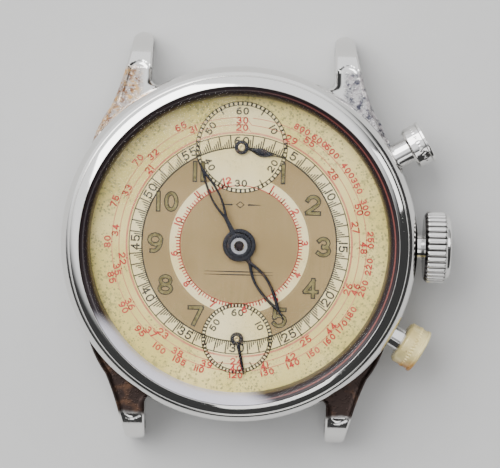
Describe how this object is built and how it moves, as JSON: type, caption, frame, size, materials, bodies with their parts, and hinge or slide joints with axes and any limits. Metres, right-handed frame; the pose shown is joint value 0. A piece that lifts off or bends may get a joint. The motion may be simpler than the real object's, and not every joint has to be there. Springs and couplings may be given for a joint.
{
  "type": "chronograph watch head",
  "caption": "Round chronograph watch head with domed crystal, recessed lugs, crown, two pushers and two small sub-dials.",
  "frame": {"origin": "centre of the case back's flat outer face", "axes": "+Z out of the dial, +Y to 12 o'clock along the lugs, +X to the crown at 3 o'clock"},
  "size_m": [0.0384, 0.0408, 0.0119],
  "materials": {
    "steel_polished": "polished steel with light wear",
    "steel_worn": "worn case steel, fine brushing and pitting",
    "steel_dark": "tempered steel, fine grained",
    "brass_worn": "worn gilt brass",
    "brass_wheel": "gilt brass, satin",
    "nickel_plate": "nickel-plated brass, grained",
    "crystal_clear": "clear domed crystal",
    "dial_print": "aged cream dial with printed scales",
    "hand_blued": "black-blued steel",
    "ruby": "synthetic ruby",
    "spring_blue": "blued spring steel"
  },
  "bodies": {
    "case": {"bezel": "steel_polished", "crystal": "crystal_clear", "reflector_ring": "steel_polished", "mid_case": "steel_worn", "case_back": "steel_worn", "movement_ring": "steel_worn", "crown_tube": "steel_worn", "start_pusher_tube": "steel_worn", "start_pusher_spring": "steel_dark", "reset_pusher_tube": "steel_worn", "reset_pusher_spring": "steel_dark", "dial": "dial_print", "main_plate": "nickel_plate", "barrel_bridge": "nickel_plate", "train_bridge": "nickel_plate", "balance_cock": "nickel_plate", "pallet_bridge": "nickel_plate", "chronograph_bridge": "nickel_plate", "bridge_screws": "steel_dark", "lever_studs": "steel_dark", "chronograph_pillars": "steel_dark", "jewels": "ruby", "motion_posts": "steel_dark", "column_post": "steel_dark"},
    "sliding_pinion": {"sliding_pinion": "steel_dark"},
    "crown": {"crown": "steel_polished", "winding_stem": "steel_dark"},
    "winding_pinion": {"winding_pinion": "steel_dark"},
    "crown_wheel": {"crown_wheel": "steel_dark"},
    "barrel_core": {"barrel_arbor": "steel_dark", "ratchet_wheel": "steel_dark"},
    "click": {"click": "steel_dark"},
    "setting_lever": {"setting_lever": "steel_dark"},
    "barrel": {"barrel": "brass_wheel", "barrel_cover": "brass_wheel", "mainspring": "spring_blue"},
    "centre": {"centre_wheel": "brass_wheel", "cannon_pinion": "steel_dark", "minute_hand": "hand_blued"},
    "hour": {"hour_wheel": "brass_wheel", "hour_hand": "hand_blued"},
    "minute_wheel": {"minute_wheel": "brass_wheel"},
    "setting_wheel": {"setting_wheel": "brass_wheel"},
    "third_wheel": {"third_wheel": "brass_wheel"},
    "seconds": {"fourth_wheel": "brass_wheel", "seconds_hand": "hand_blued"},
    "escape_wheel": {"escape_wheel": "steel_dark"},
    "pallet_fork": {"pallet_fork": "steel_dark"},
    "balance": {"balance_wheel": "brass_wheel", "hairspring": "spring_blue"},
    "start_pusher": {"start_pusher_cap": "steel_polished", "start_pusher_stem": "steel_polished"},
    "operating_lever": {"operating_lever": "steel_dark"},
    "reset_pusher": {"reset_pusher_cap": "brass_worn", "reset_pusher_stem": "steel_polished"},
    "reset_hammer": {"reset_hammer": "steel_dark"},
    "chronograph_wheel": {"chronograph_wheel": "brass_wheel"},
    "counter": {"counter_wheel": "brass_wheel", "counter_hand": "hand_blued"},
    "column_wheel": {"column_wheel": "steel_dark"}
  },
  "joints": [
    {"name": "crown_turn", "type": "hinge", "parent": "case", "child": "sliding_pinion", "pos_m": [0.0106, 0, 0.00445], "axis": [1, 0, 0], "continuous": true},
    {"name": "crown_pull", "type": "slide", "parent": "sliding_pinion", "child": "crown", "axis": [1, 0, 0], "range_m": [0, 0.0011]},
    {"name": "winding_pinion_turn", "type": "hinge", "parent": "case", "child": "winding_pinion", "pos_m": [0.012, 0, 0.00445], "axis": [1, 0, 0], "continuous": true},
    {"name": "crown_wheel_turn", "type": "hinge", "parent": "case", "child": "crown_wheel", "pos_m": [0.009, 0, 0.0025], "axis": [0, 0, 1], "continuous": true},
    {"name": "ratchet_turn", "type": "hinge", "parent": "case", "child": "barrel_core", "pos_m": [0.00479, 0.004, 0.003], "axis": [0, 0, 1], "continuous": true},
    {"name": "click_swing", "type": "hinge", "parent": "case", "child": "click", "pos_m": [0.0009, 0.0066, 0.0025], "axis": [0, 0, 1], "range_deg": [0, 9], "stiffness_Nm_per_rad": 0.000002, "springref_deg": -8.59},
    {"name": "setting_lever_swing", "type": "hinge", "parent": "case", "child": "setting_lever", "pos_m": [0.013, -0.0022, 0.00385], "axis": [0, 0, 1], "range_deg": [-35, 0]},
    {"name": "barrel_turn", "type": "hinge", "parent": "case", "child": "barrel", "pos_m": [0.00479, 0.004, 0.0045], "axis": [0, 0, 1], "continuous": true},
    {"name": "minute_turn", "type": "hinge", "parent": "case", "child": "centre", "pos_m": [0, 0, 0.007], "axis": [0, 0, 1], "continuous": true},
    {"name": "hour_turn", "type": "hinge", "parent": "case", "child": "hour", "pos_m": [0, 0, 0.0072], "axis": [0, 0, 1], "continuous": true},
    {"name": "minute_wheel_turn", "type": "hinge", "parent": "case", "child": "minute_wheel", "pos_m": [0.00384, 0, 0.0063], "axis": [0, 0, 1], "continuous": true},
    {"name": "setting_wheel_turn", "type": "hinge", "parent": "case", "child": "setting_wheel", "pos_m": [0.00864, 0, 0.0063], "axis": [0, 0, 1], "continuous": true},
    {"name": "third_wheel_turn", "type": "hinge", "parent": "case", "child": "third_wheel", "pos_m": [0.00199, -0.00502, 0.0044], "axis": [0, 0, 1], "continuous": true},
    {"name": "seconds_turn", "type": "hinge", "parent": "case", "child": "seconds", "pos_m": [0, -0.00925, 0.0044], "axis": [0, 0, 1], "continuous": true},
    {"name": "escape_wheel_turn", "type": "hinge", "parent": "case", "child": "escape_wheel", "pos_m": [-0.00375, -0.0101, 0.0044], "axis": [0, 0, 1], "continuous": true},
    {"name": "pallet_swing", "type": "hinge", "parent": "case", "child": "pallet_fork", "pos_m": [-0.00605, -0.0083, 0.0048], "axis": [0, 0, 1], "range_deg": [-5, 5]},
    {"name": "balance_swing", "type": "hinge", "parent": "case", "child": "balance", "pos_m": [-0.0083, -0.0064, 0.004], "axis": [0, 0, 1], "range_deg": [-270, 270], "stiffness_Nm_per_rad": 0.0000005, "deforming": ["hairspring"]},
    {"name": "start_push", "type": "slide", "parent": "case", "child": "start_pusher", "axis": [-0.866, -0.5, 0], "range_m": [0, 0.0009], "stiffness_N_per_m": 800, "springref_m": -0.0015, "deforming": ["start_pusher_spring"]},
    {"name": "operating_lever_swing", "type": "hinge", "parent": "case", "child": "operating_lever", "pos_m": [0.0123, 0.0035, 0.002], "axis": [0, 0, 1], "range_deg": [0, 18]},
    {"name": "reset_push", "type": "slide", "parent": "case", "child": "reset_pusher", "axis": [-0.866, 0.5, 0], "range_m": [0, 0.0009], "stiffness_N_per_m": 800, "springref_m": -0.0015, "deforming": ["reset_pusher_spring"]},
    {"name": "reset_hammer_swing", "type": "hinge", "parent": "case", "child": "reset_hammer", "pos_m": [0.0123, -0.0035, 0.002], "axis": [0, 0, 1], "range_deg": [-18, 0]},
    {"name": "chronograph_turn", "type": "hinge", "parent": "case", "child": "chronograph_wheel", "pos_m": [0, 0, 0.003], "axis": [0, 0, 1], "continuous": true},
    {"name": "counter_turn", "type": "hinge", "parent": "case", "child": "counter", "pos_m": [0, 0.0096, 0.003], "axis": [0, 0, 1], "continuous": true},
    {"name": "column_wheel_turn", "type": "hinge", "parent": "case", "child": "column_wheel", "pos_m": [0.0084, 0.0074, 0.0018], "axis": [0, 0, 1], "continuous": true}
  ],
  "couplings": [
    {"joint": "winding_pinion_turn", "follows": "crown_turn", "ratio": 1},
    {"joint": "crown_wheel_turn", "follows": "crown_turn", "ratio": 0.76923},
    {"joint": "ratchet_turn", "follows": "crown_turn", "ratio": -0.625},
    {"joint": "setting_lever_swing", "follows": "crown_pull", "rad_per_m": -454.55},
    {"joint": "minute_turn", "follows": "third_wheel_turn", "ratio": -0.125},
    {"joint": "barrel_turn", "follows": "third_wheel_turn", "ratio": 0.017857},
    {"joint": "hour_turn", "follows": "third_wheel_turn", "ratio": -0.010417},
    {"joint": "minute_wheel_turn", "follows": "third_wheel_turn", "ratio": 0.041667},
    {"joint": "setting_wheel_turn", "follows": "third_wheel_turn", "ratio": -0.0625},
    {"joint": "seconds_turn", "follows": "third_wheel_turn", "ratio": -7.5},
    {"joint": "escape_wheel_turn", "follows": "third_wheel_turn", "ratio": 75},
    {"joint": "operating_lever_swing", "follows": "start_push", "rad_per_m": 320},
    {"joint": "reset_hammer_swing", "follows": "reset_push", "rad_per_m": -320},
    {"joint": "counter_turn", "follows": "chronograph_turn", "ratio": 0.016667}
  ]
}
